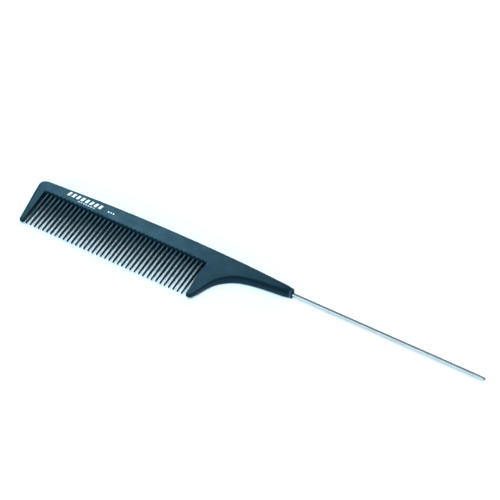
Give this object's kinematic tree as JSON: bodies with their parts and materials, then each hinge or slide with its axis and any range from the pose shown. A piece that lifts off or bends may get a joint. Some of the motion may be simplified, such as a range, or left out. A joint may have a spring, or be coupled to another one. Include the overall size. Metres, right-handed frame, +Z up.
{
  "type": "rat tail comb",
  "caption": "Rat tail comb: a flat spine with one row of fine wedge teeth between two end guards, and a tapered neck holding a long steel sectioning pin.",
  "frame": {"origin": "bottom centre of the whole object's box, on the surface that the comb lies flat on", "axes": "+X along the comb from its head to the point of the tail pin, +Y from the tooth tips to the back of the spine, +Z up out of the face that lies uppermost"},
  "size_m": [0.23, 0.0282, 0.005],
  "materials": {
    "carbon_plastic": "satin",
    "tail_steel": "polished",
    "print_white": "matte"
  },
  "bodies": {
    "root": {"comb_spine": "carbon_plastic", "neck": "carbon_plastic", "head_guard": "carbon_plastic", "heel_guard": "carbon_plastic", "fine_teeth": "carbon_plastic", "tail_pin": "tail_steel"}
  },
  "joints": []
}
